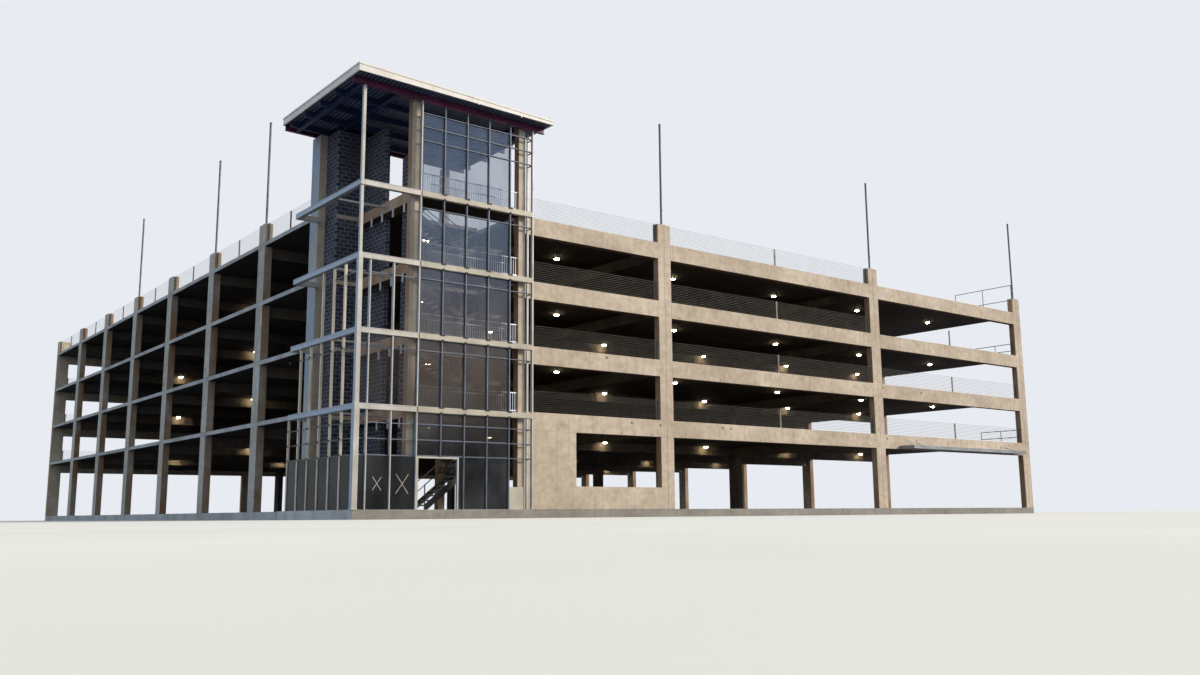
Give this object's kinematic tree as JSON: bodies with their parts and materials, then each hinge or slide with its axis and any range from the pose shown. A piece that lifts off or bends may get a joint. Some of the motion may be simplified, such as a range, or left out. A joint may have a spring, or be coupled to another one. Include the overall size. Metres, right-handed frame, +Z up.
{
  "type": "scale model of a multi storey car park under construction",
  "caption": "Cast concrete parking structure at half size: open decks on deep edge beams, cable barriers, lamp masts and a part glazed corner stair tower under a flat roof.",
  "frame": {"origin": "the middle of the bounding box at the underside of the ground slab", "axes": "+X along the front to the right, +Y from the front to the rear, +Z up"},
  "size_m": [27.525, 32.24, 10.88],
  "materials": {
    "blockwork": "bare grey blocks in pale mortar",
    "canopy_metal": "grey paint",
    "clear_glass": "lightly tinted",
    "concrete_deck": "cast concrete deck",
    "concrete_face": "cast concrete, lit warm, form marks",
    "concrete_inner": "cast concrete",
    "concrete_side": "cast concrete, grey",
    "dark_glass": "dark green tint",
    "dark_steel": "dark blue grey paint",
    "edge_board": "cream metal",
    "galvanised_steel": "galvanised",
    "light_lens": "lit lens",
    "mast_steel": "grey paint",
    "mullion_metal": "mill finish",
    "painted_tube": "pale primer",
    "primed_steel": "red oxide primer",
    "roof_sheet": "profiled sheet",
    "spandrel_metal": "cream paint"
  },
  "bodies": {
    "root": {"ground_slab": "concrete_deck", "deck_level_2": "concrete_deck", "deck_level_3": "concrete_deck", "deck_level_4": "concrete_deck", "roof_deck": "concrete_deck", "front_columns": "concrete_face", "left_columns": "concrete_side", "inner_columns": "concrete_inner", "right_columns": "concrete_side", "rear_columns": "concrete_face", "front_edge_beams": "concrete_face", "rear_edge_beams": "concrete_face", "cross_beams": "concrete_inner", "line_beams": "concrete_inner", "full_height_wall": "concrete_face", "low_front_wall": "concrete_face", "entry_canopy": "canopy_metal", "canopy_rods": "galvanised_steel", "ceiling_lights": "light_lens", "lamp_masts": "mast_steel", "cable_barrier_level_2": "galvanised_steel", "cable_barrier_level_3": "galvanised_steel", "cable_barrier_level_4": "galvanised_steel", "cable_barrier_roof": "galvanised_steel", "pipe_guards": "galvanised_steel", "tower_columns": "concrete_face", "tower_floors": "concrete_deck", "stair_wall_beams": "concrete_face", "lift_shaft": "blockwork", "shaft_bands": "concrete_face", "stair_wall": "blockwork", "beam_hangers": "galvanised_steel", "corner_post": "painted_tube", "ring_tubes": "painted_tube", "tie_tubes": "painted_tube", "spandrel_bands": "spandrel_metal", "left_studs": "painted_tube", "corner_mullions": "painted_tube", "curtain_mullions": "mullion_metal", "curtain_transoms": "mullion_metal", "end_tube": "painted_tube", "entry_frame": "painted_tube", "infill_panel": "spandrel_metal", "front_glass": "clear_glass", "left_glass": "dark_glass", "floor_guards": "galvanised_steel", "stair_flights": "concrete_deck", "stair_stringers": "galvanised_steel", "stair_handrails": "galvanised_steel", "stair_landings": "concrete_deck", "landing_beams": "concrete_inner", "roof_beams": "primed_steel", "roof_girders": "dark_steel", "roof_joists": "dark_steel", "roof_sheet": "roof_sheet", "roof_edge_boards": "edge_board"}
  },
  "joints": []
}
